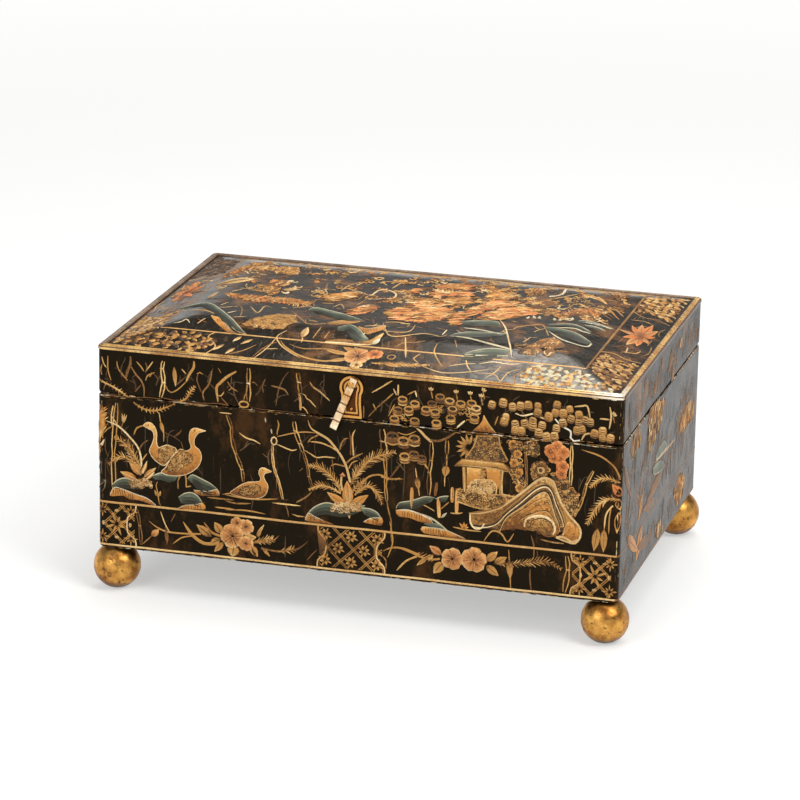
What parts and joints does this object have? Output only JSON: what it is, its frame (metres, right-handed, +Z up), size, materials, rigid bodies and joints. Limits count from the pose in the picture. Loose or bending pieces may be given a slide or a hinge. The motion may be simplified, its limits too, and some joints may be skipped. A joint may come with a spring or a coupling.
{
  "type": "lacquer box",
  "caption": "Rectangular lacquered wooden box with a hinged hipped lid, gilt edge moulding, gilt ball feet and a swing-hook clasp.",
  "frame": {"origin": "on the surface that the ball feet stand on, under the middle of the box", "axes": "+X along the box to the right as seen from the front, +Y towards the hinges at the back, +Z up"},
  "size_m": [0.3514, 0.2464, 0.1739],
  "materials": {
    "lacquer": "black lacquer with raised gold and coloured decoration, glossy, worn at the edges",
    "lining": "dark red felted lining",
    "gilt_wood": "gold leaf over red-brown ground, worn in spots",
    "dowel_wood": "plain turned beech",
    "hinge_brass": "dulled brass",
    "gilt_brass": "gilt brass, bright on the high parts and dark in the grooves"
  },
  "bodies": {
    "case": {"base_board": "lacquer", "front_board": "lacquer", "back_board": "lacquer", "left_board": "lacquer", "right_board": "lacquer", "floor_lining": "lining", "foot_front_left": "gilt_wood", "foot_front_right": "gilt_wood", "foot_back_left": "gilt_wood", "foot_back_right": "gilt_wood", "foot_dowel_front_left": "dowel_wood", "foot_dowel_front_right": "dowel_wood", "foot_dowel_back_left": "dowel_wood", "foot_dowel_back_right": "dowel_wood", "hinge_left_case_leaf": "hinge_brass", "hinge_left_pin": "hinge_brass", "hinge_left_case_screw_1": "hinge_brass", "hinge_left_case_screw_2": "hinge_brass", "hinge_right_case_leaf": "hinge_brass", "hinge_right_pin": "hinge_brass", "hinge_right_case_screw_1": "hinge_brass", "hinge_right_case_screw_2": "hinge_brass", "keeper_stud": "gilt_brass"},
    "lid": {"lid_front_rail": "lacquer", "lid_back_rail": "lacquer", "lid_left_rail": "lacquer", "lid_right_rail": "lacquer", "roof_panel": "lacquer", "lid_lining": "lining", "moulding_front": "gilt_wood", "moulding_back": "gilt_wood", "moulding_left": "gilt_wood", "moulding_right": "gilt_wood", "hinge_left_lid_leaf": "hinge_brass", "hinge_left_lid_screw_1": "hinge_brass", "hinge_left_lid_screw_2": "hinge_brass", "hinge_right_lid_leaf": "hinge_brass", "hinge_right_lid_screw_1": "hinge_brass", "hinge_right_lid_screw_2": "hinge_brass", "clasp_plate": "gilt_brass", "clasp_rivet": "gilt_brass", "clasp_pin": "gilt_brass"},
    "hook": {"hook_bar": "gilt_brass"}
  },
  "joints": [
    {"name": "lid_hinge", "type": "hinge", "parent": "case", "child": "lid", "pos_m": [0, 0.1201, 0.1313], "axis": [-1, 0, 0], "range_deg": [0, 95]},
    {"name": "hook_pivot", "type": "hinge", "parent": "lid", "child": "hook", "pos_m": [-0.0017, -0.1199, 0.1553], "axis": [0, 1, 0], "range_deg": [-2.3, 65]}
  ]
}
